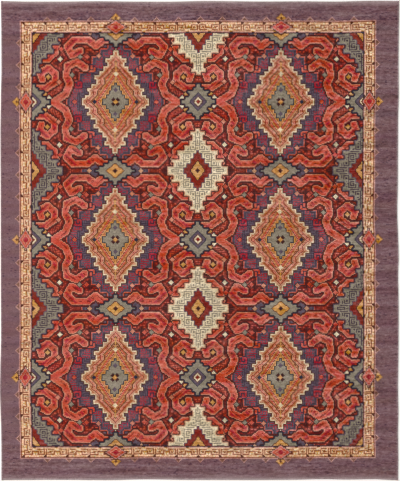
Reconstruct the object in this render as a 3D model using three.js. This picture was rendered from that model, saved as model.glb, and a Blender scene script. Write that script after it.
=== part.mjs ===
// A room-size art deco carpet that lies flat, with bound edges.
// Millimetres. +X runs across the carpet, +Y along it and +Z up from the floor.

import * as THREE from "three";

// Driving sizes
const carpetWidth = 3051; // mean distance between the long edges
const carpetLength = 3673; // mean distance between the short ends
const pileHeight = 10; // from the floor to the tips of the pile
const sideBindingWidth = 13; // the yarn wrapped round each long edge
const sideBindingHeight = 7.5;
const endBindingWidth = 17; // the band sewn over each short end
const endBindingHeight = 6;
const bevel = 1.8; // the bindings' rounded corners, cut as flats
const seam = 0.3; // the space between the carpet and its bindings
const stationPitch = 75; // the step along an edge

// No hand-knotted carpet is a true rectangle. Each table says how far an edge lies outside
// (out > 0) or inside (out < 0) its mean line, at places along it measured from its middle.
const leftEdge = [
  { along: -1836, out: -4.8 },
  { along: -1655, out: -5.5 },
  { along: -1470, out: -3.8 },
  { along: -1290, out: 2.5 },
  { along: -1150, out: 7.6 },
  { along: -1010, out: 3.7 },
  { along: -735, out: -2.2 },
  { along: -275, out: 0 },
  { along: 280, out: 0.9 },
  { along: 835, out: 3 },
  { along: 1110, out: -0.5 },
  { along: 1295, out: -5.1 },
  { along: 1570, out: -4.3 },
  { along: 1836, out: -0.6 },
];
const rightEdge = [
  { along: -1836, out: -1.5 },
  { along: -1655, out: 0.1 },
  { along: -1470, out: -3.1 },
  { along: -1335, out: 1.2 },
  { along: -1150, out: -2.9 },
  { along: -830, out: 1.4 },
  { along: -550, out: 2.5 },
  { along: -365, out: 0.8 },
  { along: -273, out: -2.5 },
  { along: -135, out: 3 },
  { along: 95, out: -3.5 },
  { along: 188, out: -9 },
  { along: 465, out: -3.8 },
  { along: 925, out: -2.3 },
  { along: 1110, out: 3.4 },
  { along: 1385, out: 1.8 },
  { along: 1836, out: 6.7 },
];
const topEnd = [
  { along: -1525, out: 2.5 },
  { along: -1345, out: -1.9 },
  { along: -1070, out: -2.1 },
  { along: -790, out: 0.6 },
  { along: -420, out: -2.8 },
  { along: -240, out: -3.3 },
  { along: 35, out: 2.4 },
  { along: 495, out: -1.8 },
  { along: 770, out: -0.5 },
  { along: 1045, out: -2.5 },
  { along: 1325, out: 4 },
  { along: 1525, out: 3.1 },
];
const bottomEnd = [
  { along: -1525, out: 3.3 },
  { along: -1070, out: 0.2 },
  { along: -700, out: 3 },
  { along: -420, out: -3.1 },
  { along: -50, out: 1.2 },
  { along: 400, out: 2.2 },
  { along: 680, out: 0.5 },
  { along: 955, out: -4.5 },
  { along: 1140, out: -1 },
  { along: 1325, out: -4.5 },
  { along: 1525, out: 3.5 },
];

// How far an edge lies outside its mean line at one place, on a smooth line through its table.
function outAt(table, along) {
  const place = THREE.MathUtils.clamp(along, table[0].along, table.at(-1).along);
  const next = Math.max(1, table.findIndex((row) => row.along >= place));
  const [before, after] = [table[next - 1], table[next]];
  const share = THREE.MathUtils.smoothstep(place, before.along, after.along);
  return THREE.MathUtils.lerp(before.out, after.out, share);
}

// The carpet's outer edges, as x at a place along y and as y at a place along x.
const leftX = (y) => -carpetWidth / 2 - outAt(leftEdge, y);
const rightX = (y) => carpetWidth / 2 + outAt(rightEdge, y);
const topY = (x) => carpetLength / 2 + outAt(topEnd, x);
const bottomY = (x) => -carpetLength / 2 - outAt(bottomEnd, x);

// Places from a low value to a high one: both ends, and the marks between them. Neighbouring
// pieces share the marks, so that their edges bend at the same places.
function stations(low, high) {
  const first = Math.floor(low / stationPitch) + 1;
  const last = Math.ceil(high / stationPitch) - 1;
  const marks = Array.from({ length: last - first + 1 }, (_, step) => (first + step) * stationPitch);
  return [low, ...marks, high];
}

// The knotted cloth: one flat slab that ends a seam's width inside the bindings.
function carpetShape() {
  const sideInset = sideBindingWidth + seam;
  const endInset = endBindingWidth + seam;
  const halfWidth = carpetWidth / 2 - sideInset;
  const halfLength = carpetLength / 2 - endInset;
  const across = stations(-halfWidth, halfWidth);
  const along = stations(-halfLength, halfLength);
  const bottom = across.map((x) => new THREE.Vector2(x, bottomY(x) + endInset));
  const right = along.map((y) => new THREE.Vector2(rightX(y) - sideInset, y));
  const top = across.map((x) => new THREE.Vector2(x, topY(x) - endInset)).reverse();
  const left = along.map((y) => new THREE.Vector2(leftX(y) + sideInset, y)).reverse();
  const inside = (points) => points.slice(1, -1);
  const corner = (x, y) => new THREE.Vector2(x, y);
  const lowY = bottomY(-halfWidth) + endInset;
  const highY = topY(halfWidth) - endInset;
  return new THREE.Shape([
    corner(leftX(-halfLength) + sideInset, lowY),
    ...inside(bottom),
    corner(rightX(-halfLength) - sideInset, bottomY(halfWidth) + endInset),
    ...inside(right),
    corner(rightX(halfLength) - sideInset, highY),
    ...inside(top),
    corner(leftX(halfLength) + sideInset, topY(-halfWidth) - endInset),
    ...inside(left),
  ]);
}

function carpet() {
  return new THREE.ExtrudeGeometry(carpetShape(), { depth: pileHeight, bevelEnabled: false });
}

// A binding's cross-section: offsets from the outer edge inwards, and heights, bevelled all round.
function bindingSection(width, height) {
  return [
    { inward: bevel, up: 0 },
    { inward: width - bevel, up: 0 },
    { inward: width, up: bevel },
    { inward: width, up: height - bevel },
    { inward: width - bevel, up: height },
    { inward: bevel, up: height },
    { inward: 0, up: height - bevel },
    { inward: 0, up: bevel },
  ];
}

// A closed body that carries a section along stations. place gives a corner's position for one
// station, and the section runs so that its faces point outwards.
function sweep(places, section, place) {
  const positions = places.flatMap((at) => section.flatMap(({ inward, up }) => place(at, inward, up)));
  const sides = section.length;
  const index = [];
  for (let ring = 0; ring < places.length - 1; ring += 1) {
    for (let side = 0; side < sides; side += 1) {
      const here = ring * sides + side;
      const beside = ring * sides + ((side + 1) % sides);
      index.push(here, beside, beside + sides);
      index.push(here, beside + sides, here + sides);
    }
  }
  const lastRing = (places.length - 1) * sides;
  for (let side = 1; side < sides - 1; side += 1) {
    index.push(0, side + 1, side);
    index.push(lastRing, lastRing + side, lastRing + side + 1);
  }
  const geometry = new THREE.BufferGeometry();
  geometry.setAttribute("position", new THREE.Float32BufferAttribute(positions, 3));
  geometry.setIndex(index);
  geometry.computeVertexNormals();
  return geometry;
}

// The side bindings run the carpet's whole length, and the end bindings lie between them.
function sideBinding(side) {
  const section = bindingSection(sideBindingWidth, sideBindingHeight);
  const edge = side > 0 ? rightX : leftX;
  const cornerX = (side * carpetWidth) / 2;
  const upwards = stations(bottomY(cornerX), topY(cornerX));
  const places = side > 0 ? upwards : upwards.reverse();
  return sweep(places, section, (y, inward, up) => [edge(y) - side * inward, y, up]);
}

function endBinding(end) {
  const section = bindingSection(endBindingWidth, endBindingHeight);
  const edge = end > 0 ? topY : bottomY;
  const cornerY = (end * carpetLength) / 2;
  const inset = sideBindingWidth + seam;
  const rightwards = stations(leftX(cornerY) + inset, rightX(cornerY) - inset);
  const places = end > 0 ? rightwards.reverse() : rightwards;
  return sweep(places, section, (x, inward, up) => [x, edge(x) - end * inward, up]);
}

const woolPile = new THREE.MeshStandardMaterial({ color: 0x92574b, roughness: 0.95, metalness: 0 });
const bindingYarn = new THREE.MeshStandardMaterial({ color: 0x7c6466, roughness: 0.9, metalness: 0 });

function piece(name, geometry, material) {
  const mesh = new THREE.Mesh(geometry, material);
  mesh.name = name;
  return mesh;
}

// The origin is under the middle of the carpet's box, at floor level.
const rug = new THREE.Group();
rug.add(
  piece("rug", carpet(), woolPile),
  piece("side_binding_left", sideBinding(-1), bindingYarn),
  piece("side_binding_right", sideBinding(1), bindingYarn),
  piece("end_binding_top", endBinding(1), bindingYarn),
  piece("end_binding_bottom", endBinding(-1), bindingYarn),
);
const middle = new THREE.Box3().setFromObject(rug).getCenter(new THREE.Vector3());
rug.position.set(-middle.x, -middle.y, 0);

export default rug;
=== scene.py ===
# %% [markdown]
# # An art deco rug, knot by knot
#
# A knotted carpet has a flat foundation of warps and wefts, a pile of cut yarn ends tied on to it
# row by row, and edges wrapped in yarn so that nothing frays. The weaver follows a chart, squared
# paper on which each square is a knot and its colour a dyed yarn.
#
# This script works in the same order: it draws the chart with short functions, ties a tuft of
# real geometry for each square, and wraps the edges. The rug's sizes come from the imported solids,
# which the first cell loads, so nothing is fitted afterwards.

# %% Load the solids
import math

import bpy
import numpy as np
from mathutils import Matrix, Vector


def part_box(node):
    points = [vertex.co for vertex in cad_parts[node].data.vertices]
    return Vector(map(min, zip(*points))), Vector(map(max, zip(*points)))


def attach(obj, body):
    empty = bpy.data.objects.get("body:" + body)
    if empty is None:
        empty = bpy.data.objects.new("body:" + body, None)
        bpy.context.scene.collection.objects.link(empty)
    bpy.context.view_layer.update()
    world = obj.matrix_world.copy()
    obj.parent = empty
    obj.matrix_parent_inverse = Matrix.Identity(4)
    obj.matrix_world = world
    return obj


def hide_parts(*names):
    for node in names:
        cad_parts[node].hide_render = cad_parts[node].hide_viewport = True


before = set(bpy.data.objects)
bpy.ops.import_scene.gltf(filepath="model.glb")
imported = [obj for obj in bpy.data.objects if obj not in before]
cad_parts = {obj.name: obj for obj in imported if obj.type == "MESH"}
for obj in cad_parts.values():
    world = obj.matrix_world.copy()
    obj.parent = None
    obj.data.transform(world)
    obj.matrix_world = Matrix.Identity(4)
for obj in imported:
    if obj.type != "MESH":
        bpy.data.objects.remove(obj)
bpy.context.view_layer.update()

cloth_low, cloth_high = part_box("rug")
print("cloth, in metres:", [round(size, 4) for size in cloth_high - cloth_low])

# %% [markdown]
# ## The outline
#
# No hand-made carpet is a true rectangle: its edges wander by a centimetre, and so do the rows of
# knots beside them. The outline could be typed in again, but the solids already hold it, so the
# next cell reads each binding's outermost line off its corners. The cloth's edge lies inside that
# line by the binding's width and a narrow seam.

# %% Read the edges off the solids
SEAM = 0.0003
SIDE_WIDTH = 0.013
END_WIDTH = 0.017
BINDINGS = {
    "left": {"solid": "side_binding_left", "width": SIDE_WIDTH},
    "right": {"solid": "side_binding_right", "width": SIDE_WIDTH},
    "bottom": {"solid": "end_binding_bottom", "width": END_WIDTH},
    "top": {"solid": "end_binding_top", "width": END_WIDTH},
}


def outermost_line(solid, side):
    """A binding's outer edge: places along it, and where the edge lies at each of them."""
    corners = np.array([corner.co[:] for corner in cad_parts[solid].data.vertices])
    across, along = (0, 1) if side in ("left", "right") else (1, 0)
    outwards = 1 if side in ("right", "top") else -1
    places, which = np.unique(corners[:, along].round(5), return_inverse=True)
    furthest = np.full(len(places), -np.inf)
    np.maximum.at(furthest, which, outwards * corners[:, across])
    return places, outwards * furthest


def inside_of(side, inset):
    """An outer edge, moved inwards."""
    places, where = edges[side]
    return places, where - inset if side in ("right", "top") else where + inset


edges = {side: outermost_line(binding["solid"], side) for side, binding in BINDINGS.items()}
cloth_edges = {side: inside_of(side, binding["width"] + SEAM) for side, binding in BINDINGS.items()}
print("marks read along each edge:", {side: len(line[0]) for side, line in edges.items()})

# %% [markdown]
# ## From the chart to the cloth
#
# Rows follow the work: where the cloth runs wider, so do the knots of that row. Equal squares cut
# off at the outline would leave sliced knots at the edge. So a place is given as two shares, of
# the way across and of the way up, and each row is stretched between the edges it meets.

# %% Turn shares into places on the cloth
def on_cloth(across, up):
    """x and y on the cloth, for shares from 0 to 1 of its width and of its length."""
    rough_y = cloth_low.y + (cloth_high.y - cloth_low.y) * up
    left = np.interp(rough_y, *cloth_edges["left"])
    right = np.interp(rough_y, *cloth_edges["right"])
    x = left + (right - left) * across
    bottom = np.interp(x, *cloth_edges["bottom"])
    top = np.interp(x, *cloth_edges["top"])
    return x, bottom + (top - bottom) * up


print("middle of the cloth, in metres:", [round(float(place), 4) for place in on_cloth(0.5, 0.5)])

# %% [markdown]
# ## The squared paper
#
# A carpet of this size has two or three knots to a centimetre, well over half a million, which is
# too many to tie here. So one square stands for a small bunch of knots, about eight millimetres
# wide, the finest line that shows from where a person stands. Outside lies the plain border, then
# a narrow guard stripe, and the field fills the rest.

# %% Sizes of the chart, in knots
KNOT = 0.00768
FIELD = (332, 413)
GUARD = 13
BORDER = {"left": 17, "top": 17, "right": 21, "bottom": 19}
COLUMNS = BORDER["left"] + 2 * GUARD + FIELD[0] + BORDER["right"]
ROWS = BORDER["top"] + 2 * GUARD + FIELD[1] + BORDER["bottom"]
print("chart:", COLUMNS, "by", ROWS, "knots")

# %% [markdown]
# ## The dyed yarns
#
# The palette makes the rug: corals and salmon over maroon, cooled by slate and sage, and lit by
# gold and cream. Each yarn is one dye lot. The colours are given as seen in plain daylight on the
# usual 0 to 255 scale, and turned into the linear light that Blender mixes in.

# %% Yarn colours
YARNS = {
    "mauve": (133, 99, 104),
    "maroon": (102, 40, 35),
    "wine": (70, 34, 34),
    "coral": (212, 104, 87),
    "salmon": (220, 146, 121),
    "brick": (142, 57, 47),
    "slate": (104, 87, 99),
    "dusk": (76, 58, 70),
    "sage": (154, 142, 124),
    "navy": (44, 46, 64),
    "cream": (242, 222, 188),
    "peach": (214, 160, 130),
    "ochre": (182, 112, 74),
    "gold": (218, 162, 102),
    "brown": (98, 52, 38),
    "pink": (204, 154, 144),
    "rose": (178, 66, 72),
    "apricot": (244, 194, 157),
    "tan": (150, 88, 62),
    "umber": (134, 94, 80),
    "plum": (104, 72, 84),
}
CODE = {name: code for code, name in enumerate(YARNS)}


def linear(colour):
    """A 0 to 255 colour as linear light, with an alpha of 1."""
    shares = np.array(colour) / 255
    light = np.where(shares <= 0.04045, shares / 12.92, ((shares + 0.055) / 1.055) ** 2.4)
    return (*light.tolist(), 1.0)


print(len(YARNS), "yarns")

# %% [markdown]
# ## Drawing by rule
#
# The field alone holds 137,000 squares, too many to colour one at a time. Carpet designers
# therefore draw a quarter of one repeat and turn it over for the rest. The helpers below mark
# squares on such a tile, called U across and V down. Forms are arrays of yes and no, because two
# of those can be joined, cut or outlined in one line.

# %% Forms on the tile
TILE = (84, 70)
V, U = np.mgrid[0:TILE[1], 0:TILE[0]]
CORNER_CLIP = 1.5


def climbing(away, beside, steps):
    """A form whose sides climb in steps: up to each reach from its middle it is so wide."""
    found = np.zeros(away.shape, bool)
    start = 0
    for reach, half in steps:
        found |= (away >= start) & (away < reach) & (beside <= half)
        start = reach
    return found


def stepped(at, steps):
    """Such a form about a place on the tile."""
    return climbing(np.abs(V - at[1]), np.abs(U - at[0]), steps)


def lozenge(at, half_wide, half_high):
    return np.abs(U - at[0]) / half_wide + np.abs(V - at[1]) / half_high < 1


def band(corners, width):
    """A path of one width through a few corners, its own corners clipped like a coin's."""
    found = np.zeros(U.shape, bool)
    half = width / 2
    for (u0, v0), (u1, v1) in zip(corners, corners[1:]):
        for share in np.linspace(0, 1, max(abs(u1 - u0), abs(v1 - v0)) + 1):
            beside = np.abs(U - (u0 + (u1 - u0) * share))
            above = np.abs(V - (v0 + (v1 - v0) * share))
            found |= (np.maximum(beside, above) < half) & (beside + above < CORNER_CLIP * half)
    return found


print("knots on the tile:", U.size)

# %% [markdown]
# ## Outlines
#
# Each form has a line or two of other yarns round it, one knot wide, which keep its colour apart
# from the ground. They could be paths of their own. It is simpler to work the whole form in the
# outline's yarn, and then again in its own yarn without its outermost knots.

# %% Work a form and its outline
def shrink(form, knots=1):
    """A form without its outermost knots. Past the tile's edges it goes on mirrored."""
    for _ in range(knots):
        wide = np.pad(form, 1, mode="reflect")
        form = form & wide[2:, 1:-1] & wide[:-2, 1:-1] & wide[1:-1, 2:] & wide[1:-1, :-2]
    return form


def grow(form, knots=1):
    return ~shrink(~form, knots)


def work(chart, form, body, rim=None, ground=None):
    """Works a form in one yarn, with an outline in another and a line of ground round it."""
    if ground:
        chart[grow(form)] = CODE[ground]
    chart[form] = CODE[rim or body]
    chart[shrink(form) if rim else form] = CODE[body]


print("a 5 by 7 lozenge:", int(lozenge((42, 35), 5, 7).sum()), "knots")
print("without its outline:", int(shrink(lozenge((42, 35), 5, 7)).sum()), "knots")

# %% [markdown]
# ## Small motifs
#
# A form of a few knots is quicker to list than to describe by rule. A key fret fills
# grounds, and a star, a sprig and a hook sit in the gaps. Each x is a knot.

# %% Motifs charted
def motif(*rows):
    return np.array([list(row) for row in rows]) == "x"


KEY = motif(
    "xxxxxxxx....",
    "x......x.xx.",
    "x.xxxx.x.xx.",
    "x.x..x.x....",
    "x.x.xx.xxxxx",
    "x.x.........",
    "x.xxxxxxxxx.",
    "x...........",
)
STAR = motif(
    "..x...x..",
    ".xxx.xxx.",
    "xxxxxxxxx",
    ".xxxxxxx.",
    "..xxxxx..",
    ".xxxxxxx.",
    "xxxxxxxxx",
    ".xxx.xxx.",
    "..x...x..",
)
SPRIG = motif(
    "..x..",
    ".xxx.",
    "xxxxx",
    ".xxx.",
    "..x..",
)
HOOK = motif(
    "xxxxxxx..",
    "xxxxxxxx.",
    "xx....xx.",
    "xx.xx.xx.",
    "xx.xx.xx.",
    "xxxxx....",
    ".xxxx....",
)


def stamp(chart, shape, at, yarn, line=None):
    """Works a small motif about a place. What falls off the tile is its mirror image's."""
    if line:
        stamp(chart, grow(np.pad(shape, 2))[1:-1, 1:-1], at, line)
    high, wide = shape.shape
    for row, column in zip(*np.nonzero(shape)):
        u = at[0] + column - wide // 2
        v = at[1] + row - high // 2
        if 0 <= u < TILE[0] and 0 <= v < TILE[1]:
            chart[v, u] = CODE[yarn]


def key_lines(shift=(0, 0)):
    """The key fret, repeated over the whole tile."""
    return KEY[(V + shift[1]) % KEY.shape[0], (U + shift[0]) % KEY.shape[1]]


print("knots in each motif:", [int(shape.sum()) for shape in (KEY, STAR, SPRIG, HOOK)])

# %% [markdown]
# ## One quarter of the repeat
#
# Four forms take turns over the field, and each has a corner of the tile as its middle: a gold
# lozenge, a cream one, and two small stars. What is worked later covers what was worked earlier,
# as with cut paper, so the grounds come first and the lozenges last.

# %% Start with maroon
GOLD_AT, CREAM_AT, UPPER_STAR_AT, LOWER_STAR_AT = (0, 0), (83, 69), (83, 0), (0, 69)
tile = np.full(U.shape, CODE["maroon"])


def knots_of(chart, *yarns):
    return {yarn: int((chart == CODE[yarn]).sum()) for yarn in yarns}


print("to start with:", knots_of(tile, "maroon"))

# %% [markdown]
# ## Slate grounds
#
# A ground is the plain colour round a motif. Plain slate would look empty at this size, so it has
# a key fret, in low contrast near the lozenge and in rose further out, and a line of dusk yarn
# just inside its coral edge.

# %% Slate grounds
def work_grounds(chart):
    halo = stepped(GOLD_AT, ((14, 49), (22, 43), (30, 37), (38, 31), (46, 24), (54, 16), (60, 8)))
    shadow = stepped(LOWER_STAR_AT, ((6, 34), (12, 28), (20, 20)))
    for ground in (shadow, halo):
        work(chart, ground, "slate", "coral", "wine")
        chart[shrink(ground, 2) & ~shrink(ground, 3)] = CODE["dusk"]
    inner = stepped(GOLD_AT, ((10, 38), (20, 33), (34, 24), (46, 13)))
    chart[shrink(halo, 4) & inner & key_lines()] = CODE["dusk"]
    chart[shrink(halo, 4) & ~inner & key_lines()] = CODE["rose"]
    for shape, at, yarn in (
        (HOOK, (38, 17), "rose"),
        (HOOK[:, ::-1], (24, 33), "coral"),
        (SPRIG, (41, 0), "coral"),
        (SPRIG, (17, 46), "salmon"),
    ):
        stamp(chart, shape, at, yarn, "navy")


work_grounds(tile)
print("grounds:", knots_of(tile, "slate", "dusk", "rose"))

# %% [markdown]
# ## Coral scrolls
#
# Angular scrolls run through the red between the grounds. On squared paper a scroll is a band of
# one width, so a short list of its corners draws it. A brick shadow lies behind, and pips of
# brick and patches of rose break up the coral, as the ends of old balls of yarn would.

# %% Coral scrolls
SCROLL_WIDTH = 7
SCROLLS = (
    ((83, 14), (70, 14), (61, 20), (61, 28), (68, 34), (76, 29), (74, 23)),
    ((0, 62), (12, 62), (20, 56), (28, 62), (42, 62), (49, 55), (44, 47), (36, 51)),
    ((63, 69), (59, 60), (61, 50), (69, 43), (83, 43)),
    ((31, 34), (39, 40), (49, 36), (50, 26), (46, 18), (50, 8), (62, 0)),
)


def work_scrolls(chart):
    scrolls = np.zeros(U.shape, bool)
    for corners in SCROLLS:
        scrolls |= band(corners, SCROLL_WIDTH)
    chart[grow(scrolls, 5) & (chart == CODE["maroon"])] = CODE["brick"]
    chart[grow(scrolls, 2)] = CODE["maroon"]
    work(chart, scrolls, "coral", "salmon", "wine")
    chart[shrink(scrolls, 2) & ((U + V) % 17 < 3)] = CODE["rose"]
    chart[shrink(scrolls, 3) & ((U + V) % 8 < 3)] = CODE["brick"]


work_scrolls(tile)
print("scrolls:", knots_of(tile, "coral", "salmon", "brick"))

# %% [markdown]
# ## The red ground
#
# What is still brick or maroon gets the same key fret, in coral and in wine. It reads as texture
# from a distance and as a pattern from close by. Sprigs then fill the widest gaps, each with a
# dark line round it.

# %% Fret and sprigs
SPRIGS = {
    ("cream", "navy"): ((56, 43), (0, 55), (67, 4)),
    ("peach", "navy"): ((26, 69),),
    ("sage", "wine"): ((44, 27), (36, 45)),
    ("coral", "wine"): ((29, 45), (55, 53)),
    ("salmon", "wine"): ((57, 20),),
    ("gold", "wine"): ((71, 8), (68, 25)),
}


def work_red_ground(chart):
    for ground, line in (("brick", "coral"), ("maroon", "wine")):
        bare = chart == CODE[ground]
        chart[shrink(bare) & key_lines((5, 2))] = CODE[line]
    for yarns, places in SPRIGS.items():
        for at in places:
            stamp(chart, SPRIG, at, *yarns)


work_red_ground(tile)
print("red ground:", knots_of(tile, "brick", "maroon", "wine"))

# %% [markdown]
# ## The gold lozenge
#
# The largest form has serrated steps, from a table of reaches and widths. Inside lie smaller
# copies of it in warmer yarns, a core of slanting stripes, and a sage heart. Shrinking the same
# form again and again keeps every line parallel to the outline.

# %% The gold lozenge
GOLD_STEPS = (
    (4, 33), (7, 30), (11, 26), (14, 28), (18, 24), (23, 19), (27, 21), (31, 16), (36, 12),
    (40, 8), (44, 10), (47, 5), (52, 2),
)
STRIPES = ("gold", "salmon", "brown", "salmon", "coral", "coral")


def work_gold_lozenge(chart):
    form = stepped(GOLD_AT, GOLD_STEPS)
    work(chart, form, "peach", "cream", "brown")
    teeth = shrink(form, 2) & ~shrink(form, 4)
    chart[teeth & ((U + V) // 2 % 2 == 0)] = CODE["ochre"]
    glow = shrink(form, 4)
    work(chart, glow, "salmon", "brick")
    chart[shrink(glow, 2) & (V % 4 == 1)] = CODE["rose"]
    core = shrink(form, 8)
    work(chart, core, "ochre", "brown", "peach")
    for step, yarn in enumerate(STRIPES):
        chart[shrink(core, 2) & ((U * 3 // 2 + V) % 8 == step)] = CODE[yarn]
    chart[(U == 0) & (V > 17) & (V < 40)] = CODE["gold"]
    heart = stepped(GOLD_AT, ((4, 13), (8, 9), (12, 6), (17, 4), (20, 1)))
    work(chart, heart, "sage", "navy", "gold")
    stamp(chart, STAR, GOLD_AT, "wine")
    for at, yarn in ((GOLD_AT, "gold"), ((0, 12), "slate"), ((0, 28), "cream"), ((21, 0), "navy")):
        stamp(chart, SPRIG, at, yarn)


work_gold_lozenge(tile)
print("gold lozenge:", knots_of(tile, "peach", "gold", "ochre"))

# %% [markdown]
# ## The cream lozenge and the stars
#
# The palest form rests the eye. It is cream with a sage fret and a brick heart. Its yarns are the
# function's inputs, because the same lozenge comes again in sage at the long edges. Two small
# stepped stars fill the places between the lozenges.

# %% The cream lozenge and the stars
CREAM_STEPS = (
    (5, 30), (9, 24), (12, 26), (16, 18), (21, 20), (26, 13), (31, 8), (36, 5), (40, 7), (43, 2),
)


def work_cream_lozenge(chart, body="cream", rim="peach", lines="sage"):
    form = stepped(CREAM_AT, CREAM_STEPS)
    work(chart, form, body, rim, "wine")
    chart[shrink(form, 3) & key_lines((3, 4))] = CODE[lines]
    heart = stepped(CREAM_AT, ((4, 14), (8, 11), (13, 7), (18, 4), (21, 1)))
    work(chart, heart, "brick", "slate", body)
    work(chart, lozenge(CREAM_AT, 8, 11), "gold", "wine")
    stamp(chart, SPRIG, CREAM_AT, "wine")


def work_stars(chart):
    upper = stepped(UPPER_STAR_AT, ((3, 17), (6, 13), (9, 9), (12, 11), (15, 5), (19, 2)))
    work(chart, upper, "sage", "navy", "wine")
    work(chart, lozenge(UPPER_STAR_AT, 9, 10), "slate", "navy")
    work(chart, lozenge(UPPER_STAR_AT, 5, 6), "cream", "brown")
    stamp(chart, SPRIG, UPPER_STAR_AT, "brick")
    lower = stepped(LOWER_STAR_AT, ((2, 20), (5, 16), (8, 11), (11, 6), (15, 2)))
    work(chart, lower, "sage", "navy", "wine")
    work(chart, lozenge(LOWER_STAR_AT, 10, 8), "gold", "brown")
    stamp(chart, SPRIG, LOWER_STAR_AT, "wine")


work_cream_lozenge(tile)
work_stars(tile)
print("cream lozenge and stars:", knots_of(tile, "cream", "sage", "navy"))

# %% [markdown]
# ## The field
#
# Counting forwards to the tile's edge and back again unfolds the quarter into the whole field.
# The cream lozenges would be cut in half at the long edges and draw the eye there. So the knots
# near those edges come from a second tile with the same form in sage, a common way to close a
# repeat.

# %% Unfold the tile
SIDE_COLUMNS = 40
side_tile = tile.copy()
work_cream_lozenge(side_tile, "sage", "slate", "dusk")
work_stars(side_tile)


def folded(count, reach, offset=0):
    """The tile's column or row for each of a number of knots, counted there and back."""
    place = np.arange(count) - count // 2 + offset
    return np.abs((place + reach) % (2 * reach) - reach)


def field():
    u = folded(FIELD[0], TILE[0] - 1, TILE[0] - 1)
    v = folded(FIELD[1], TILE[1] - 1)
    column = np.arange(FIELD[0])
    at_side = np.minimum(column, column[::-1]) < SIDE_COLUMNS
    return np.where(at_side, side_tile[v[:, None], u], tile[v[:, None], u])


print("knots drawn by rule:", field().size, "from a tile of", tile.size)

# %% [markdown]
# ## The guard stripe
#
# A guard stripe is a narrow band that parts border from field. This one has a pink line and a
# dark one on its outer side, a fine angular fret in pale yarns, and a wine line on its inner
# side. One repeat is charted below in letters, from its outer line inwards. Each knot takes the
# row of its depth below the nearest edge, and that mitres the corners.

# %% The guard stripe
STRIPE_YARNS = dict(
    a="apricot", b="brown", c="cream", g="gold", k="pink", n="navy", t="tan", w="wine",
)
STRIPE = (
    "kkkkkkkkkkkkkkkkkkkkkk",
    "bbtttttttttttttttttttb",
    "bbaaaagcaaaaaaaacgaaab",
    "bacaaaaaagaaaagacaaaab",
    "atttttttacgcattttttttt",
    "ataaaaatacgcataaaaaaat",
    "atacttatggggatacttttat",
    "atatgtatttttttatgtacat",
    "atacaagaaccaaaaacaacat",
    "attttttttaaccattttttat",
    "aaacaaaaaaggaaaaaacaaa",
    "kkkkkkkkkkbbbkkkkkkkkk",
    "wwwwwwwwwwnnnwwwwwwwww",
)


def stripe(high, wide):
    """A frame of the guard stripe, mirrored about the middle of each side."""
    row, column = np.mgrid[0:high, 0:wide]
    from_end = np.minimum(row, high - 1 - row)
    from_side = np.minimum(column, wide - 1 - column)
    depth = np.minimum(from_end, from_side).clip(0, GUARD - 1)
    along = np.where(from_side < from_end, np.abs(row - high // 2), np.abs(column - wide // 2))
    rows = np.array([[CODE[STRIPE_YARNS[letter]] for letter in line] for line in STRIPE])
    return rows[depth, along % rows.shape[1]]


print("one repeat of the stripe:", len(STRIPE), "by", len(STRIPE[0]), "knots")

# %% [markdown]
# ## The whole chart
#
# The border is one plain colour. The stripe and the field are laid into it in turn, each a
# certain number of knots inside the last.

# %% Lay the stripe and the field into the border
def inside(chart, inset):
    """The part of the chart that lies inside the border by a number of knots."""
    rows = slice(BORDER["top"] + inset, ROWS - BORDER["bottom"] - inset)
    columns = slice(BORDER["left"] + inset, COLUMNS - BORDER["right"] - inset)
    return chart[rows, columns]


chart = np.full((ROWS, COLUMNS), CODE["mauve"])
framed = inside(chart, 0)
framed[:] = stripe(*framed.shape)
inside(chart, GUARD)[:] = field()
print("border:", knots_of(chart, "mauve"))

# %% [markdown]
# ## Points outside the stripe
#
# A row of small triangles stands on the stripe's outer line, outlined in pink and filled with
# umber. Each knot of the border knows how far out it is, and how far along from the nearest
# point's middle. Where the two add up to the point's height, it is on the outline.

# %% Points outside the stripe
POINT_HIGH = 4
POINT_PITCH = 22
DOWN, ACROSS = np.mgrid[0:ROWS, 0:COLUMNS]


def points(chart):
    beside = np.maximum(BORDER["left"] - ACROSS, ACROSS - (COLUMNS - BORDER["right"] - 1))
    beyond = np.maximum(BORDER["top"] - DOWN, DOWN - (ROWS - BORDER["bottom"] - 1))
    out = np.maximum(beside, beyond)
    along = np.where(beside > beyond, np.abs(DOWN - ROWS // 2), np.abs(ACROSS - COLUMNS // 2))
    from_middle = np.abs((along + POINT_PITCH // 2) % POINT_PITCH - POINT_PITCH // 2)
    standing = (np.minimum(beside, beyond) < -GUARD) & (out >= 1)
    chart[standing & (out + from_middle < POINT_HIGH)] = CODE["umber"]
    chart[standing & (out + from_middle == POINT_HIGH)] = CODE["pink"]


points(chart)
print("points:", knots_of(chart, "umber"))

# %% [markdown]
# ## Plum knots among the mauve
#
# A plain border uses more yarn than one dye bath gives, and the odd darker length gets in. Here
# two knots in a row are plum now and then. Above the stripe at the top end they crowd into a
# darker band that fades out within a few rows. The seed is fixed, so each run gives the same rug.

# %% Plum knots among the mauve
PLUM_SEED = 11
PLUM_EVERYWHERE = 0.03
PLUM_BESIDE_STRIPE = 0.55
PLUM_FADES_IN = 3.5


def speckle(chart):
    above_stripe = (BORDER["top"] - DOWN).clip(0)
    fading = np.exp(-above_stripe / PLUM_FADES_IN) * (above_stripe > 0)
    pairs = np.random.default_rng(PLUM_SEED).random((ROWS, COLUMNS // 2)).repeat(2, axis=1)
    chosen = pairs < PLUM_EVERYWHERE + PLUM_BESIDE_STRIPE * fading
    chart[chosen & (chart == CODE["mauve"])] = CODE["plum"]


speckle(chart)
print("darker lot:", knots_of(chart, "plum"))

# %% [markdown]
# ## Crests on the stripe
#
# A small stepped crest with a gold knob lies across the stripe wherever the axis of a gold
# lozenge meets it, and ties the frame to the field. The same steps serve the ends and the sides,
# with across and along changed over.

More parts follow.
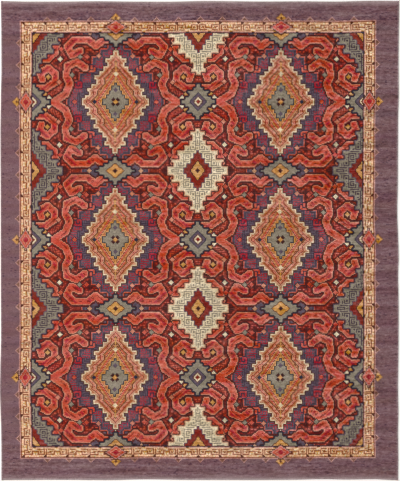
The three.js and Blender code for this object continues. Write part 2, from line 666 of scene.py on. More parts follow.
# %% Crests on the stripe
CREST_STEPS = ((2, 11), (4, 8), (6, 5), (8, 2))
CREST_LINES = ((0, "brown"), (1, "pink"), (2, "coral"), (4, "salmon"), (5, "rose"))
KNOB = ((5, "umber"), (4, "gold"), (1, "brown"))
KNOB_OUT = 9


def crest_places():
    """Row and column of each crest's middle, and its way outwards in rows and in columns."""
    half = GUARD // 2
    axes_up = BORDER["top"] + GUARD + FIELD[1] // 2 + (2 * TILE[1] - 2) * np.arange(-1, 2)
    axes_across = BORDER["left"] + GUARD + FIELD[0] // 2 + (TILE[0] - 1) * np.array([-1, 1])
    sides = ((BORDER["left"] + half, -1), (COLUMNS - BORDER["right"] - half - 1, 1))
    ends = ((BORDER["top"] + half, -1), (ROWS - BORDER["bottom"] - half - 1, 1))
    at_sides = [(up, side, 0, out) for up in axes_up for side, out in sides]
    return at_sides + [(end, across, out, 0) for across in axes_across for end, out in ends]


def crests(chart):
    form = np.zeros(chart.shape, bool)
    for at_row, at_column, out_row, out_column in crest_places():
        up, across = DOWN - at_row, ACROSS - at_column
        from_knob = np.abs(up - KNOB_OUT * out_row) + np.abs(across - KNOB_OUT * out_column)
        for reach, yarn in KNOB:
            chart[from_knob <= reach] = CODE[yarn]
        away, beside = (up, across) if out_row else (across, up)
        form |= climbing(np.abs(away), np.abs(beside), CREST_STEPS)
    for inset, yarn in CREST_LINES:
        chart[shrink(form, inset)] = CODE[yarn]


crests(chart)
print("crests:", len(crest_places()))
print("knots of each yarn:", knots_of(chart, *YARNS))

# %% [markdown]
# ## Geometry Nodes from code
#
# A node tree can be built in a script, and then documents itself. One helper fills or links a
# node's inputs, and one adds a node and returns the output that the next one needs. Three short
# ones stand for the nodes that come again and again.

# %% Helpers for nodes
def fill(made, inputs):
    """Fills a node's inputs or links them, by name or number."""
    for name, value in inputs.items():
        if isinstance(value, bpy.types.NodeSocket):
            made.id_data.links.new(value, made.inputs[name])
        else:
            made.inputs[name].default_value = value


def node(tree, kind, inputs=None, output=0, **settings):
    """Adds a node, applies its settings, fills its inputs and returns one of its outputs."""
    made = tree.nodes.new(kind)
    for name, value in settings.items():
        setattr(made, name, value)
    fill(made, inputs or {})
    return made.outputs[output]


def maths(tree, operation, *values):
    """A Math node on up to three values."""
    return node(tree, "ShaderNodeMath", dict(enumerate(values)), operation=operation)


def vector(tree, *values):
    """Up to three values as one vector."""
    return node(tree, "ShaderNodeCombineXYZ", dict(enumerate(values)))


def axis(tree, place, name):
    """The X, Y or Z of a vector."""
    return node(tree, "ShaderNodeSeparateXYZ", {0: place}, name)


print("helpers for nodes:", [helper.__name__ for helper in (fill, node, maths, vector, axis)])

# %% [markdown]
# ## A tree's inputs
#
# A tree is easier to reuse when its sizes are named inputs. A modifier stores their values under
# an identifier and not under the name, so the next helper returns the identifiers too. Both
# trees here end alike, so a second helper closes them. It turns instances into real mesh, because
# other programs would lose them.

# %% Open and close a tree
SOCKETS = {float: "NodeSocketFloat", int: "NodeSocketInt", type(None): "NodeSocketMaterial"}


def open_tree(name, **inputs):
    """A tree with named inputs. Returns it, their identifiers, and their sockets inside it."""
    tree = bpy.data.node_groups.new(name, "GeometryNodeTree")
    tree.interface.new_socket("Geometry", in_out="INPUT", socket_type="NodeSocketGeometry")
    identifiers = {}
    for title, value in inputs.items():
        item = tree.interface.new_socket(title, in_out="INPUT", socket_type=SOCKETS[type(value)])
        if value is not None:
            item.default_value = value
        identifiers[title] = item.identifier
    tree.interface.new_socket("Geometry", in_out="OUTPUT", socket_type="NodeSocketGeometry")
    return tree, identifiers, tree.nodes.new("NodeGroupInput").outputs


def close_tree(tree, given, geometry):
    """Makes all of it plain mesh, smooths it, gives it its yarn and hands it on."""
    real = node(tree, "GeometryNodeRealizeInstances", {"Geometry": geometry})
    soft = node(tree, "GeometryNodeSetShadeSmooth", {"Geometry": real})
    dyed = node(tree, "GeometryNodeSetMaterial", {"Geometry": soft, "Material": given["Yarn"]})
    fill(tree.nodes.new("NodeGroupOutput"), {0: dyed})


print("kinds of inputs:", list(SOCKETS.values()))

# %% [markdown]
# ## The pile
#
# Each knot leaves a tuft of cut yarn ends about a centimetre off the floor. Its neighbours press
# on it from all sides, so only the tip shows: a small soft point. A particle system of hairs
# could do this, but hairs don't export. Instancing one four-sided tip on a cloud of points keeps
# the tree short. Each instance stores a random number, called heather here, which the wool's
# colour reads later.

# %% A tuft on each point
PILE_TOP = cloth_high.z
TIP_RISE = 0.0033
TIP_FOOT = PILE_TOP - TIP_RISE


def tufts_on_points(tree, given):
    cone = node(tree, "GeometryNodeMeshCone", {
        "Vertices": 4, "Radius Top": 0.0, "Radius Bottom": math.sqrt(0.5), "Depth": 1.0,
    }, fill_type="NONE")
    tip = node(tree, "GeometryNodeTransform", {"Geometry": cone, "Rotation": (0, 0, math.pi / 4)})
    return node(tree, "GeometryNodeInstanceOnPoints", {
        "Points": given["Geometry"],
        "Instance": tip,
        "Scale": vector(tree, given["Knot"], given["Knot"], given["Rise"]),
    })


def with_heather(tree, given, instances):
    """Gives each instance a heather number of its own."""
    number = node(tree, "FunctionNodeRandomValue", {"Seed": given["Seed"]}, 1, data_type="FLOAT")
    return node(tree, "GeometryNodeStoreNamedAttribute", {
        "Geometry": instances, "Name": "heather", "Value": number,
    }, data_type="FLOAT", domain="INSTANCE")


print("tip height, in mm:", round(1000 * TIP_RISE, 1))

# %% [markdown]
# ## Leaning and wandering
#
# Cut ends lean where they were last brushed, and rows of knots are never quite straight. So each
# tip moves sideways and a little down at random, and then all corners drift with a smooth noise.
# It depends only on the place, so the corners that neighbours share move together and no gap
# opens between them.

# %% Move the tips, then all corners
WAVES_TO_A_KNOT = 0.8
CENTRED = (-0.5, -0.5, -0.5)


def leaning(tree, given, geometry):
    height = axis(tree, node(tree, "GeometryNodeInputPosition"), "Z")
    half_way = maths(tree, "MULTIPLY_ADD", given["Rise"], 0.5, given["Foot"])
    back = maths(tree, "MULTIPLY", given["Lean"], -1.0)
    lean = node(tree, "FunctionNodeRandomValue", {
        0: vector(tree, back, back, back),
        1: vector(tree, given["Lean"], given["Lean"]),
        "Seed": given["Seed"],
    }, data_type="FLOAT_VECTOR")
    return node(tree, "GeometryNodeSetPosition", {
        "Geometry": geometry,
        "Selection": maths(tree, "GREATER_THAN", height, half_way),
        "Offset": lean,
    })


def wandering(tree, given, geometry):
    waves = {"Scale": WAVES_TO_A_KNOT / KNOT, "Detail": 0.0}
    smooth = node(tree, "ShaderNodeTexNoise", waves, "Color")
    either_way = node(tree, "ShaderNodeVectorMath", {0: smooth, 1: CENTRED}, operation="ADD")
    reach = vector(tree, given["Wander"], given["Wander"])
    shift = node(tree, "ShaderNodeVectorMath", {0: either_way, 1: reach}, operation="MULTIPLY")
    return node(tree, "GeometryNodeSetPosition", {"Geometry": geometry, "Offset": shift})


print("a wave of the rows, in mm:", round(1000 * KNOT / WAVES_TO_A_KNOT, 1))

# %% [markdown]
# ## The tree that ties a knot
#
# One tree joins up the steps. Its sizes have good defaults, so that only the seed and the yarn
# have to be given for each dye lot. The instances are realized before they move, because only
# real corners can.

# %% The tree that ties a knot
TIP_LEAN = 0.0013
WANDER = 0.0055


def knot_tree():
    tree, identifiers, given = open_tree(
        "Tie knots",
        Knot=KNOT,
        Rise=TIP_RISE,
        Foot=TIP_FOOT,
        Lean=TIP_LEAN,
        Wander=WANDER,
        Seed=0,
        Yarn=None,
    )
    tied = with_heather(tree, given, tufts_on_points(tree, given))
    real = node(tree, "GeometryNodeRealizeInstances", {"Geometry": tied})
    close_tree(tree, given, wandering(tree, given, leaning(tree, given, real)))
    return tree, identifiers


tying, knot_inputs = knot_tree()
print("nodes that tie a knot:", len(tying.nodes), "with inputs:", list(knot_inputs))

# %% [markdown]
# ## Noise as a factor
#
# What makes wool look like wool is unevenness, at one scale or another. A Mapping node squeezes a
# noise along one axis, so that it runs in streaks. The table gives each noise its waves to a
# metre along x, y and z, its detail, how far it is shifted, and its grain. The other two helpers
# turn its 0 to 1 into a factor that darkens or lightens a colour.

# %% Noise as a factor
NOISES = {
    "abrash": ((1.6, 12.0, 1.0), 5.0, 0.0, 0.5),
    "back": ((40.0, 400.0, 1.0), 3.0, 0.0, 0.5),
    "bath": ((4.0, 16.0, 1.0), 4.0, 3.0, 0.5),
    "brushed": ((2.6, 13.0, 1.0), 4.0, 7.0, 0.5),
    "combed": ((1300.0, 420.0, 420.0), 3.0, 0.0, 0.5),
    "mottles": ((32.0, 60.0, 1.0), 4.0, 5.0, 0.7),
    "ribs": ((18.0, 75.0, 1.0), 2.0, 0.0, 0.5),
    "rubbed": ((3.0, 20.0, 1.0), 3.0, 11.0, 0.5),
    "streaks": ((2.4, 28.0, 1.0), 3.0, 9.0, 0.5),
}


def noise(tree, places, name):
    """One of the noises in the table."""
    scale, detail, shift, grain = NOISES[name]
    spread = node(tree, "ShaderNodeMapping", {
        "Vector": places, "Location": (shift, shift, shift), "Scale": scale,
    })
    return node(tree, "ShaderNodeTexNoise", {
        "Vector": spread, "Scale": 1.0, "Detail": detail, "Roughness": grain,
    })


def about(tree, value, middle, swing):
    """A value from 0 to 1 as one that swings about a middle."""
    return maths(tree, "MULTIPLY_ADD", value, 2 * swing, middle - swing)


def between(tree, value, low, high, to_low=0.0, to_high=1.0):
    """Maps a range of a value to another, and holds it there."""
    return node(tree, "ShaderNodeMapRange", {
        "Value": value, "From Min": low, "From Max": high, "To Min": to_low, "To Max": to_high,
    })


print("a wave of the finest noise, in mm:", round(1000 / NOISES["combed"][0][0], 2))

# %% [markdown]
# ## Mottles, ribs and streaks
#
# The dye took unevenly. The ends and the right side of this rug have more mottles, ribs and long
# streaks than the rest. Each comes from its own noise and swings by its own share. One strength,
# which grows towards those sides, scales them all.

# %% Mottles, ribs and streaks
SWINGS = {"mottles": 0.34, "ribs": 0.2, "streaks": 0.26}
NOISE_SPAN = (0.3, 0.7)
NEAR_END = (1.45, 1.7)
TO_THE_RIGHT = (-1.3, 1.4)
CALM = 0.25
LIVELY = 0.9


def uneven(tree, places, from_middle):
    at_end = between(tree, from_middle, *NEAR_END, CALM, 1.0)
    at_right = between(tree, axis(tree, places, "X"), *TO_THE_RIGHT, CALM, LIVELY)
    swings = 0.0
    for name, swing in SWINGS.items():
        pattern = between(tree, noise(tree, places, name), *NOISE_SPAN, -swing, swing)
        swings = maths(tree, "ADD", swings, pattern)
    return maths(tree, "MULTIPLY_ADD", maths(tree, "MAXIMUM", at_end, at_right), swings, 1.0)


print("a tuft is darkened or lightened by up to", round(sum(SWINGS.values()), 2))

# %% [markdown]
# ## How light and how strong the dye is, and painted shade
#
# Hand-dyed wool is never one flat colour. Each tuft takes the dye a little differently, which
# weavers call heather, and a new ball leaves faint bands, called abrash. Brushing flattens some
# patches, whose shade is painted in as a darker tone, and a very fine noise stands for the combed
# fibres. A tuft is also painted darker towards its foot, as painted shade where less light gets
# in. All of these are factors, so they are simply multiplied. Where the dye ran low, the wool is
# lighter and paler at once.

# %% Lightness and strength of the dye, and painted shade
YARN_DEPTH = 1.06
# Patches of brushed pile are painted darker by this much, as painted shade.
BRUSHED_SPAN = (0.55, 0.7)
BRUSHED_SHADE = (1.0, 0.76)
COMBED = (0.72, 1.28)
# Painted shade on each tuft: darker at its foot, a little lighter at its tip.
PAINTED_FOOT_SHADE = (0.62, 1.14)
STRENGTH = 1.06
WEAKER = 0.25
PALER = 0.5


def stored(tree, name, output="Color"):
    """An attribute that the mesh stores."""
    return node(tree, "ShaderNodeAttribute", None, output, attribute_name=name)


def lightness(tree, places, abrash, combed, patches, heather, drift, heights):
    value = patches
    for factor in (
        about(tree, stored(tree, "heather", "Fac"), YARN_DEPTH, heather),
        about(tree, abrash, 1.0, drift),
        between(tree, noise(tree, places, "brushed"), *BRUSHED_SPAN, *BRUSHED_SHADE),
        between(tree, combed, *NOISE_SPAN, *COMBED),
        between(tree, axis(tree, places, "Z"), *heights, *PAINTED_FOOT_SHADE),
    ):
        value = maths(tree, "MULTIPLY", value, factor)
    return value


def strength_of_dye(tree, abrash, patches):
    paler = maths(tree, "MULTIPLY_ADD", patches, -PALER, 1 + PALER)
    return maths(tree, "MULTIPLY", about(tree, abrash, STRENGTH, -WEAKER), paler)


print("strength of a patch that is a tenth lighter:", round(1 - 0.1 * PALER, 2))

# %% [markdown]
# ## Worn ends
#
# Feet reach the two ends first. The pile there is rubbed towards a pale grey mauve, in patches
# and not as an even band, so the distance from the end is multiplied by one more noise.

# %% Wear at the ends
END_WEAR = 0.032
RUBBED_SPAN = (0.3, 0.65)
LEAST_RUBBED = 0.3
WORN = (168, 146, 146)


def mixed(tree, share, first, second):
    """Goes from one colour to another as the share goes from 0 to 1."""
    colours = {0: share, "A": first, "B": second}
    return node(tree, "ShaderNodeMix", colours, "Result", data_type="RGBA")


def rubbed(tree, places, from_middle, colour, worn):
    near_end = between(tree, from_middle, cloth_high.y - END_WEAR, cloth_high.y)
    patchy = between(tree, noise(tree, places, "rubbed"), *RUBBED_SPAN, LEAST_RUBBED, 1.0)
    wear = maths(tree, "MULTIPLY", maths(tree, "MULTIPLY", near_end, patchy), worn)
    return mixed(tree, wear, colour, linear(WORN))


print("wear reaches", round(1000 * END_WEAR), "mm in from each end")

# %% [markdown]
# ## The wool
#
# The yarn's colour passes through those steps in turn, and its hue drifts a little from one bath
# to the next. Wool scatters light, so it is rough, with a weak sheen from loose fibre ends. The
# combed noise raises fine hairs as bump, far finer than the tufts. Dark yarns take the dye least
# evenly, so some have a heather, drift or lot swing of their own.

# %% The wool material
# Between these heights each tuft's painted shade goes from its foot to its tip.
TUFT_HEIGHTS = (TIP_FOOT, PILE_TOP)
HABITS = {
    "mauve": {"heather": 0.14, "drift": 0.16, "lot": 0.04},
    "slate": {"heather": 0.28, "drift": 0.3},
    "brick": {"heather": 0.32},
    "maroon": {"heather": 0.36},
    "wine": {"heather": 0.4},
}


def material(name):
    """A new material, its node tree and its shader."""
    made = bpy.data.materials.new(name)
    made.use_nodes = True
    return made, made.node_tree, made.node_tree.nodes["Principled BSDF"]


def wool(name, colour, worn=0.55, heather=0.2, drift=0.24, lot=0.016, heights=TUFT_HEIGHTS):
    """Dyed wool: a matt yarn whose colour drifts from tuft to tuft and from row to row."""
    made, tree, shader = material(name)
    places = node(tree, "ShaderNodeTexCoord", output="Object")
    from_middle = maths(tree, "ABSOLUTE", axis(tree, places, "Y"))
    abrash = noise(tree, places, "abrash")
    combed = noise(tree, places, "combed")
    patches = uneven(tree, places, from_middle)
    dyed = node(tree, "ShaderNodeHueSaturation", {
        "Hue": about(tree, noise(tree, places, "bath"), 0.5, lot),
        "Saturation": strength_of_dye(tree, abrash, patches),
        "Value": lightness(tree, places, abrash, combed, patches, heather, drift, heights),
        "Color": linear(colour),
    })
    hairs = node(tree, "ShaderNodeBump", {"Strength": 0.8, "Distance": 0.002, "Height": combed})
    fill(shader, {
        "Base Color": rubbed(tree, places, from_middle, dyed, worn),
        "Roughness": between(tree, combed, 0.2, 0.8, 0.8, 1.0),
        "Normal": hairs,
        "Sheen Weight": 0.15,
        "Specular IOR Level": 0.2,
    })
    return made


yarn_wool = {}
for name, colour in YARNS.items():
    yarn_wool[name] = wool(f"{name}_wool", colour, **HABITS.get(name, {}))
print("wools:", len(yarn_wool), "with", len(yarn_wool["mauve"].node_tree.nodes), "nodes each")

# %% [markdown]
# ## From points to plain mesh
#
# A tree works on an object through a modifier. So the knots start as loose points, the evaluated
# result is copied to a plain mesh, and the points are thrown away. No modifier is left for
# another program to stumble over.

# %% Run a tree and keep its mesh
def linked(mesh):
    made = bpy.data.objects.new(mesh.name, mesh)
    bpy.context.scene.collection.objects.link(made)
    return made


def built(name, points, lines=(), faces=()):
    """An object made of points, and of lines or faces that join them."""
    mesh = bpy.data.meshes.new(name)
    mesh.from_pydata(points, lines, faces)
    return linked(mesh)


def evaluated(points, modifier_name, tree, settings):
    """Runs a node tree on an object and returns the result as an object of plain mesh."""
    modifier = points.modifiers.new(modifier_name, "NODES")
    modifier.node_group = tree
    for identifier, value in settings.items():
        modifier[identifier] = value
    graph = bpy.context.evaluated_depsgraph_get()
    mesh = bpy.data.meshes.new_from_object(points.evaluated_get(graph))
    name, loose_points = points.name, points.data
    bpy.data.objects.remove(points)
    bpy.data.meshes.remove(loose_points)
    mesh.name = name
    return linked(mesh)


print("trees ready to run:", [tree.name for tree in bpy.data.node_groups])

# %% [markdown]
# ## Tying the knots
#
# A yarn's knots are one point for each square of its colour. One object per yarn keeps every dye
# lot together, just as the weaver keeps its balls apart. A map laid out as the rug is seen from
# above goes with it, for programs that keep colour in pictures.

# %% Tie each yarn in turn
def map_from_above(mesh):
    """Lays the mesh out flat, as it is seen from above, in a UV map."""
    corners = np.empty(3 * len(mesh.vertices), np.float32)
    mesh.vertices.foreach_get("co", corners)
    used = np.empty(len(mesh.loops), np.int32)
    mesh.loops.foreach_get("vertex_index", used)
    flat = corners.reshape(-1, 3)[used, :2]
    low, high = np.array(cloth_low)[:2], np.array(cloth_high)[:2]
    layout = mesh.uv_layers.new(name="OFBake")
    layout.data.foreach_set("uv", ((flat - low) / (high - low)).astype(np.float32).ravel())


def tie(name):
    rows, columns = np.nonzero(chart == CODE[name])
    x, y = on_cloth((columns + 0.5) / COLUMNS, 1 - (rows + 0.5) / ROWS)
    knots = np.column_stack([x, y, np.full(len(x), TIP_FOOT)]).tolist()
    tufts = evaluated(built(f"pile_{name}", knots), "Knots", tying, {
        knot_inputs["Seed"]: CODE[name],
        knot_inputs["Yarn"]: yarn_wool[name],
    })
    map_from_above(tufts.data)
    return tufts


pile = {name: tie(name) for name in YARNS}
print("triangles in the pile:", sum(len(piece.data.polygons) for piece in pile.values()))
print("most in one piece:", max(len(piece.data.polygons) for piece in pile.values()))

# %% [markdown]
# ## The foundation
#
# Under the tufts lies the woven cloth that they are tied to. It is a closed slab, so the rug has
# a body when it is lifted. Its underside is a grid, two knots to a face, because the pattern
# shows again there. Its top lies hidden under the tufts, so long strips from edge to edge do.

# %% The foundation
UNDER_TUFTS = 0.00005
SLAB_TOP = TIP_FOOT - UNDER_TUFTS
BACK_STEP = 2


def foundation():
    across = np.append(np.arange(0, COLUMNS, BACK_STEP), COLUMNS) / COLUMNS
    up = np.append(np.arange(0, ROWS, BACK_STEP), ROWS) / ROWS
    wide, high = len(across), len(up)
    x, y = on_cloth(*np.meshgrid(across, up))
    number = np.arange(wide * high).reshape(high, wide)
    rim = [*number[0, :-1], *number[:-1, -1], *number[-1, :0:-1], *number[:0:-1, 0]]
    above = {below: wide * high + place for place, below in enumerate(rim)}
    points = np.stack([x, y, np.zeros_like(x)], -1).reshape(-1, 3).tolist()
    points += [[*points[below][:2], SLAB_TOP] for below in rim]
    faces = [
        (number[row, col], number[row + 1, col], number[row + 1, col + 1], number[row, col + 1])
        for row in range(high - 1)
        for col in range(wide - 1)
    ]
    for below, beside in zip(rim, rim[1:] + rim[:1]):
        faces.append((below, beside, above[beside], above[below]))
    left, right = ([above[number[row, col]] for row in range(high)] for col in (0, -1))
    first, last = ([above[number[row, col]] for col in range(wide)] for row in (0, -1))
    faces.append((*first, right[1], left[1]))
    for row in range(1, high - 2):
        faces.append((left[row], right[row], right[row + 1], left[row + 1]))
    faces.append((left[-2], right[-2], *last[::-1]))
    return built("foundation", points, faces=faces)


cloth = foundation()
print("foundation faces:", len(cloth.data.polygons))

# %% [markdown]
# ## The back of the carpet
#
# Each knot wraps round the warps, so its yarn shows on the back too, flat and a little dulled. A
# buyer turns up a corner to tell a knotted rug from a printed one. A face of the underside spans
# two knots by two, because a face for each knot would make the mesh four times as heavy. So it
# stores a colour for each of its quarters, and its corners store where they lie in it.

# %% Colours for the back
QUARTERS = {"near_left": (0, 0), "far_left": (0, 1), "far_right": (1, 1), "near_right": (1, 0)}


def dye_the_back():
    """Stores the yarn of each quarter on the faces below, in the order of their corners."""
    palette = np.array([linear(colour) for colour in YARNS.values()])
    below = len(range(0, ROWS, BACK_STEP)) * len(range(0, COLUMNS, BACK_STEP))
    for name, (across, up) in QUARTERS.items():
        rows = (np.arange(0, ROWS, BACK_STEP) + up).clip(max=ROWS - 1)
        columns = (np.arange(0, COLUMNS, BACK_STEP) + across).clip(max=COLUMNS - 1)
        shown = np.full(len(cloth.data.polygons), CODE["mauve"])
        shown[:below] = chart[::-1][np.ix_(rows, columns)].ravel()
        dye = cloth.data.attributes.new(name, "FLOAT_COLOR", "FACE")
        dye.data.foreach_set("color", palette[shown].ravel())
    within = np.zeros((len(cloth.data.loops), 3))
    within[:4 * below, :2] = np.tile(list(QUARTERS.values()), (below, 1))
    place = cloth.data.attributes.new("within_face", "FLOAT_VECTOR", "CORNER")
    place.data.foreach_set("vector", within.ravel())
    return 4 * below


print("quarters dyed on the back:", dye_the_back())

# %% [markdown]
# ## The back's material
#
# Two comparisons tell which quarter of a face is being looked at, and three mixes pick its
# colour. The yarn is then dulled, and a wave stands for the rows of knots as bump.

# %% The back's material
def quarter_colour(tree):
    within = stored(tree, "within_face", "Vector")
    at_right = maths(tree, "GREATER_THAN", axis(tree, within, "X"), 0.5)
    is_far = maths(tree, "GREATER_THAN", axis(tree, within, "Y"), 0.5)
    near = mixed(tree, at_right, stored(tree, "near_left"), stored(tree, "near_right"))
    far = mixed(tree, at_right, stored(tree, "far_left"), stored(tree, "far_right"))
    return mixed(tree, is_far, near, far)


def backing():
    made, tree, shader = material("foundation_cotton")
    places = node(tree, "ShaderNodeTexCoord", output="Object")
    drift = noise(tree, places, "back")
    dull = node(tree, "ShaderNodeHueSaturation", {
        "Saturation": 0.85,
        "Value": about(tree, drift, YARN_DEPTH, 0.25),
        "Color": quarter_colour(tree),
    })
    rows = node(tree, "ShaderNodeTexWave", {
        "Vector": places, "Scale": math.pi / (10 * KNOT), "Distortion": 0.6, "Detail": 1.0,
    }, "Fac", bands_direction="Y")
    ribs = node(tree, "ShaderNodeBump", {"Strength": 0.5, "Distance": 0.001, "Height": rows})
    fill(shader, {
        "Base Color": dull,
        "Roughness": between(tree, drift, 0.0, 1.0, 0.85, 1.0),
        "Normal": ribs,
        "Specular IOR Level": 0.2,
    })
    return made


cloth.data.materials.append(backing())
print("nodes in the back's material:", len(cloth.data.materials[0].node_tree.nodes))

# %% [markdown]
# ## One turn of the binding
#
# The long edges are overcast: yarn goes round and round the outermost warps in slanting turns,
# and protects them from feet. The short ends have a wider, flatter band of the same stitch. A
# turn is a flat strand swept round a rectangle with clipped corners, then stood upright and
# slanted. About 1,700 of them are needed, so each has only a few dozen faces.

# %% One turn of yarn
TURN_PITCH = 0.008
YARN_THICKNESS = 0.0016
SLANT = math.radians(11)
OVERLAP = 1.08
CORNER_CUT = 0.32


def section(tree, given):
    """The outline of the edge that the yarn goes round."""
    height = maths(tree, "SUBTRACT", given["Height"], given["Thickness"])
    box = node(tree, "GeometryNodeCurvePrimitiveQuadrilateral", {
        "Width": maths(tree, "SUBTRACT", given["Width"], given["Thickness"]),
        "Height": height,
    })
    cut = {"Curve": box, "Radius": maths(tree, "MULTIPLY", height, CORNER_CUT), "Count": 1}
    return node(tree, "GeometryNodeFilletCurve", cut, mode="POLY")


def one_turn(tree, given, around):
    round_yarn = {"Resolution": 4, "Radius": 0.5}
    strand = node(tree, "GeometryNodeCurvePrimitiveCircle", round_yarn, mode="RADIUS")
    width = maths(tree, "MULTIPLY", given["Pitch"], OVERLAP)
    flat = node(tree, "GeometryNodeTransform", {
        "Geometry": strand, "Scale": vector(tree, given["Thickness"], width, 1.0),
    })
    ring = node(tree, "GeometryNodeCurveToMesh", {"Curve": around, "Profile Curve": flat})
    return node(tree, "GeometryNodeTransform", {
        "Geometry": ring, "Rotation": vector(tree, math.pi / 2, 0.0, given["Slant"]),
    })


print("turns to a metre:", round(1 / TURN_PITCH))

# %% [markdown]
# ## Turns along an edge
#
# A Mesh to Curve node takes the line of the edge, Curve to Points spaces the turns along it, and
# each turn is aligned with the line and made a little larger or smaller. A thin core swept along
# the same line fills the inside of the rings, as the wrapped warps do.

# %% The tree that wraps one edge
EDGE_HEIGHT = 0.0075
SMALLEST_TURN = (0.97, 0.9, 0.95)
LARGEST_TURN = (1.0, 1.1, 1.0)


def turns_along(tree, given, line, turn):
    spaced = {"Curve": line, "Length": given["Pitch"]}
    points = node(tree, "GeometryNodeCurveToPoints", spaced, "Points", mode="LENGTH")
    tangent = {"Vector": points.node.outputs["Tangent"]}
    along = node(tree, "FunctionNodeAlignRotationToVector", tangent, axis="Y", pivot_axis="Z")
    size = node(tree, "FunctionNodeRandomValue", {
        0: SMALLEST_TURN, 1: LARGEST_TURN, "Seed": given["Seed"],
    }, data_type="FLOAT_VECTOR")
    return node(tree, "GeometryNodeInstanceOnPoints", {
        "Points": points, "Instance": turn, "Rotation": along, "Scale": size,
    })


def wrap_tree():
    tree, identifiers, given = open_tree(
        "Wrap an edge",
        Width=SIDE_WIDTH,
        Height=EDGE_HEIGHT,
        Pitch=TURN_PITCH,
        Thickness=YARN_THICKNESS,
        Slant=SLANT,
        Seed=0,
        Yarn=None,
    )
    around = section(tree, given)
    line = node(tree, "GeometryNodeMeshToCurve", {"Mesh": given["Geometry"]})
    level = node(tree, "GeometryNodeSetCurveNormal", {"Curve": line}, mode="Z_UP")
    swept = {"Curve": level, "Profile Curve": around, "Fill Caps": True}
    core = node(tree, "GeometryNodeCurveToMesh", swept)
    wound = turns_along(tree, given, level, one_turn(tree, given, around))
    joined = node(tree, "GeometryNodeJoinGeometry", {0: core})
    fill(joined.node, {0: with_heather(tree, given, wound)})
    close_tree(tree, given, joined)
    return tree, identifiers


wrapping, wrap_inputs = wrap_tree()
print("nodes that wrap an edge:", len(wrapping.nodes), "with inputs:", list(wrap_inputs))

# %% [markdown]
# ## The bound edges
#
# The wrapping yarn is a greyed mauve, a shade paler at the ends, where it is also more worn. Each
# edge's line runs along the middle of its solid, so the yarn lies exactly where that was.

# %% Wrap the four edges
LINE_STEP = 0.05
# Between these heights the wraps are painted darker towards the floor, as painted shade.
WRAP_HEIGHTS = (-0.002, 0.006)
WRAP_WOOL = {
    SIDE_WIDTH: wool("side_wrap_wool", (132, 108, 110), heights=WRAP_HEIGHTS),
    END_WIDTH: wool("end_wrap_wool", (150, 126, 128), worn=0.85, heights=WRAP_HEIGHTS),
}


def edge_line(side, solid, width):
    """A line of points along the middle of an edge's binding, half a turn short of its ends."""
    low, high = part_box(solid)
    places, middle = inside_of(side, width / 2)
    first, last = places[0] + TURN_PITCH / 2, places[-1] - TURN_PITCH / 2
    along = np.linspace(first, last, round((last - first) / LINE_STEP))
    across = np.interp(along, places, middle)
    level = np.full(len(along), (low.z + high.z) / 2)
    order = (across, along, level) if side in ("left", "right") else (along, across, level)
    joints = [(step, step + 1) for step in range(len(along) - 1)]
    return built(solid.replace("binding", "wrap"), np.column_stack(order).tolist(), joints)


wraps = {}
for seed, (side, binding) in enumerate(BINDINGS.items()):
    low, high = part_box(binding["solid"])
    wrap = evaluated(edge_line(side, **binding), "Turns", wrapping, {
        wrap_inputs["Width"]: binding["width"],
        wrap_inputs["Height"]: high.z - low.z,
        wrap_inputs["Seed"]: seed,
        wrap_inputs["Yarn"]: WRAP_WOOL[binding["width"]],
    })
    wraps[binding["solid"]] = wrap
    print(wrap.name, "faces:", len(wrap.data.polygons), "length:", round(max(wrap.dimensions), 3))

# %% [markdown]
# ## The floor
#
# The rug lies on a plain pale floor, which isn't part of it. One large face is enough, half a
# millimetre below the rug so that the two never share a plane.

# %% The floor
FLOOR = 40.0
FLOOR_DEPTH = -0.0005
FLOOR_COLOUR = (255, 252, 249)
corners = [(x * FLOOR, y * FLOOR, FLOOR_DEPTH) for x, y in ((-1, -1), (1, -1), (1, 1), (-1, 1))]
floor = built("floor", corners, faces=[(0, 1, 2, 3)])
paint, _, paint_shader = material("floor_paint")
fill(paint_shader, {"Base Color": linear(FLOOR_COLOUR), "Roughness": 1.0})
floor.data.materials.append(paint)
print("floor, in metres:", 2 * FLOOR)

# %% [markdown]
# ## The light
#
# The light is that of a bright room: a soft glow from all round, and a large window a few metres
# to the left. Being near, it lights the left border a little more than the right one, and coming
# from the side, it shades the tufts.

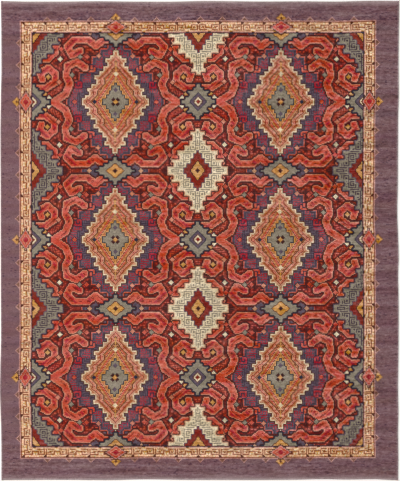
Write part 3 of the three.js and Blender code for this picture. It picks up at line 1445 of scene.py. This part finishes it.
# %% The light
world = bpy.data.worlds.new("Bright room")
bpy.context.scene.world = world
world.use_nodes = True
GLOW = (1.0, 0.99, 0.98, 1.0)
fill(world.node_tree.nodes["Background"], {"Color": GLOW, "Strength": 0.7})

WINDOW_AT = (-9.0, 1.5, 9.0)
WINDOW_WATTS = 930.0
WINDOW_SIZE = 4.5
pane = bpy.data.lights.new("Window", "AREA")
pane.energy = WINDOW_WATTS
pane.size = WINDOW_SIZE
window = bpy.data.objects.new("Window", pane)
window.location = WINDOW_AT
window.rotation_euler = (-Vector(WINDOW_AT)).to_track_quat("-Z", "Y").to_euler()
window.visible_camera = False
bpy.context.scene.collection.objects.link(window)
print("window, in metres from the middle of the rug:", round(Vector(WINDOW_AT).length, 1))

# %% [markdown]
# ## The camera
#
# The rug was seen from straight above. A long lens high up keeps its edges free of perspective,
# and its height follows from the lens and from how many knots the frame has to hold. The
# Standard view keeps the yarns' colours as they were mixed.

# %% The camera
LENS = 120.0
SENSOR = 36.0
KNOTS_IN_FRAME = 480.5
FRAME_HEIGHT = KNOTS_IN_FRAME * KNOT
CENTRE_X = 0.0042
lens = bpy.data.cameras.new("Overhead")
lens.lens = LENS
lens.sensor_width = SENSOR
lens.clip_end = 200.0
camera = bpy.data.objects.new("Overhead", lens)
camera.location = (CENTRE_X, 0.0, FRAME_HEIGHT * LENS / SENSOR + PILE_TOP)
bpy.context.scene.collection.objects.link(camera)
bpy.context.scene.camera = camera
bpy.context.scene.view_settings.view_transform = "Standard"
print("camera height:", round(camera.location.z, 2), "m")

# %% [markdown]
# ## The pieces
#
# Every piece rides on the rug's one body. The foundation and the wrapped edges stand in for the
# plain solids, which are hidden. The pile and the wrapped edges, which lie on the foundation, are
# gathered in one list.

# %% Pieces and what they stand for
for piece in pile.values():
    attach(piece, "root")
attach(cloth, "root")
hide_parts("rug")
for binding, piece in wraps.items():
    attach(piece, "root")
    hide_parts(binding)
on_cloth_lie = [*pile.values(), *wraps.values()]
faces = [face for piece in (cloth, *on_cloth_lie) for face in piece.data.polygons]
print("triangles in all:", sum(len(face.vertices) - 2 for face in faces))
